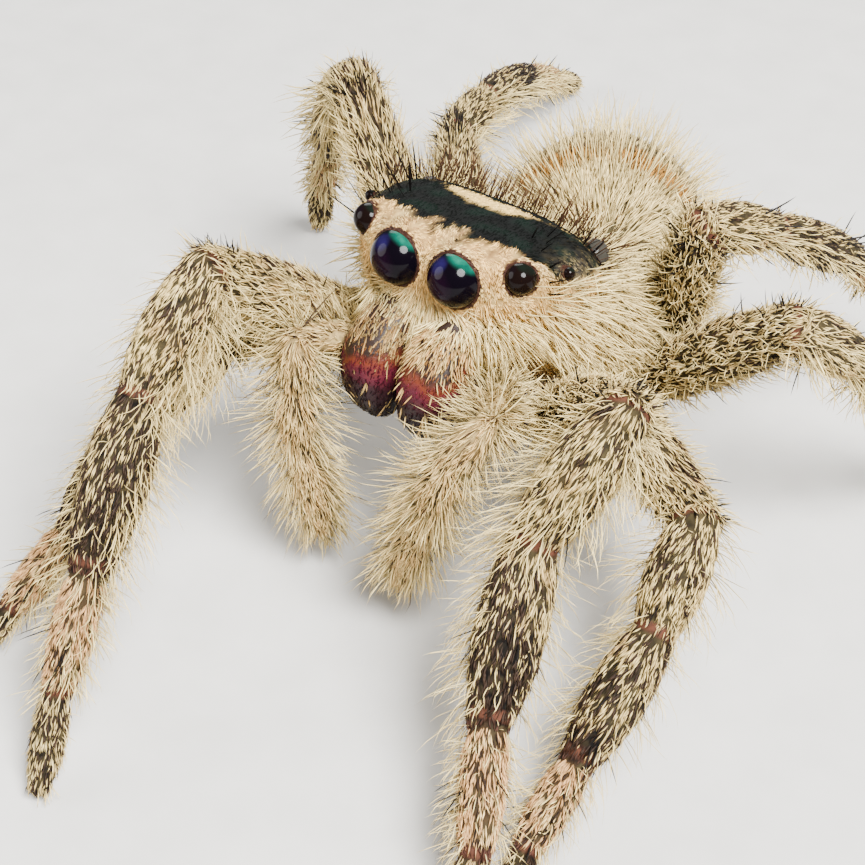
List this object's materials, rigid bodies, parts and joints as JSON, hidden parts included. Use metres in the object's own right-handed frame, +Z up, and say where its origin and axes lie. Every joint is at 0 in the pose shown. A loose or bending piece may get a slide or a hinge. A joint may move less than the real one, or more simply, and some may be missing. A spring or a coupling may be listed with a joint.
{
  "type": "jumping spider",
  "caption": "Life-size hairy jumping spider standing alert on its feet with the head raised, large front eyes, iridescent jaws and a drooping egg-shaped abdomen",
  "frame": {"origin": "on the floor under the middle of the bounding box", "axes": "+Z up, the spider faces -Y, its left side is +X"},
  "size_m": [0.014, 0.0214, 0.006],
  "materials": {
    "coat": "grey-cream scales and long pale hairs over black skin, matt",
    "head_coat": "short cream-tan scales with a velvet black cap, matt",
    "foot_coat": "peach-tan hairs, dark dotted tips, matt",
    "eye": "glossy black lens with green and violet reflections",
    "jaw": "smooth maroon with orange to magenta iridescence"
  },
  "bodies": {
    "root": {"cephalothorax": "head_coat", "abdomen": "coat", "waist": "coat", "spinnerets": "coat", "eye_front_middle_left": "eye", "eye_front_side_left": "eye", "eye_small_side_left": "eye", "eye_rear_side_left": "eye", "eye_front_middle_right": "eye", "eye_front_side_right": "eye", "eye_small_side_right": "eye", "eye_rear_side_right": "eye", "jaw_left": "jaw", "jaw_right": "jaw", "palp_left_base": "coat", "palp_left_middle": "coat", "palp_left_tip": "coat", "palp_right_base": "coat", "palp_right_middle": "coat", "palp_right_tip": "coat", "leg_1_left_femur": "coat", "leg_1_left_patella": "coat", "leg_1_left_tibia": "coat", "leg_1_left_metatarsus": "foot_coat", "leg_1_left_tarsus": "foot_coat", "leg_2_left_femur": "coat", "leg_2_left_patella": "coat", "leg_2_left_tibia": "coat", "leg_2_left_metatarsus": "foot_coat", "leg_2_left_tarsus": "foot_coat", "leg_3_left_femur": "coat", "leg_3_left_patella": "coat", "leg_3_left_tibia": "coat", "leg_3_left_metatarsus": "foot_coat", "leg_3_left_tarsus": "foot_coat", "leg_4_left_femur": "coat", "leg_4_left_patella": "coat", "leg_4_left_tibia": "coat", "leg_4_left_metatarsus": "foot_coat", "leg_4_left_tarsus": "foot_coat", "leg_1_right_femur": "coat", "leg_1_right_patella": "coat", "leg_1_right_tibia": "coat", "leg_1_right_metatarsus": "foot_coat", "leg_1_right_tarsus": "foot_coat", "leg_2_right_femur": "coat", "leg_2_right_patella": "coat", "leg_2_right_tibia": "coat", "leg_2_right_metatarsus": "foot_coat", "leg_2_right_tarsus": "foot_coat", "leg_3_right_femur": "coat", "leg_3_right_patella": "coat", "leg_3_right_tibia": "coat", "leg_3_right_metatarsus": "foot_coat", "leg_3_right_tarsus": "foot_coat", "leg_4_right_femur": "coat", "leg_4_right_patella": "coat", "leg_4_right_tibia": "coat", "leg_4_right_metatarsus": "foot_coat", "leg_4_right_tarsus": "foot_coat"}
  },
  "joints": []
}
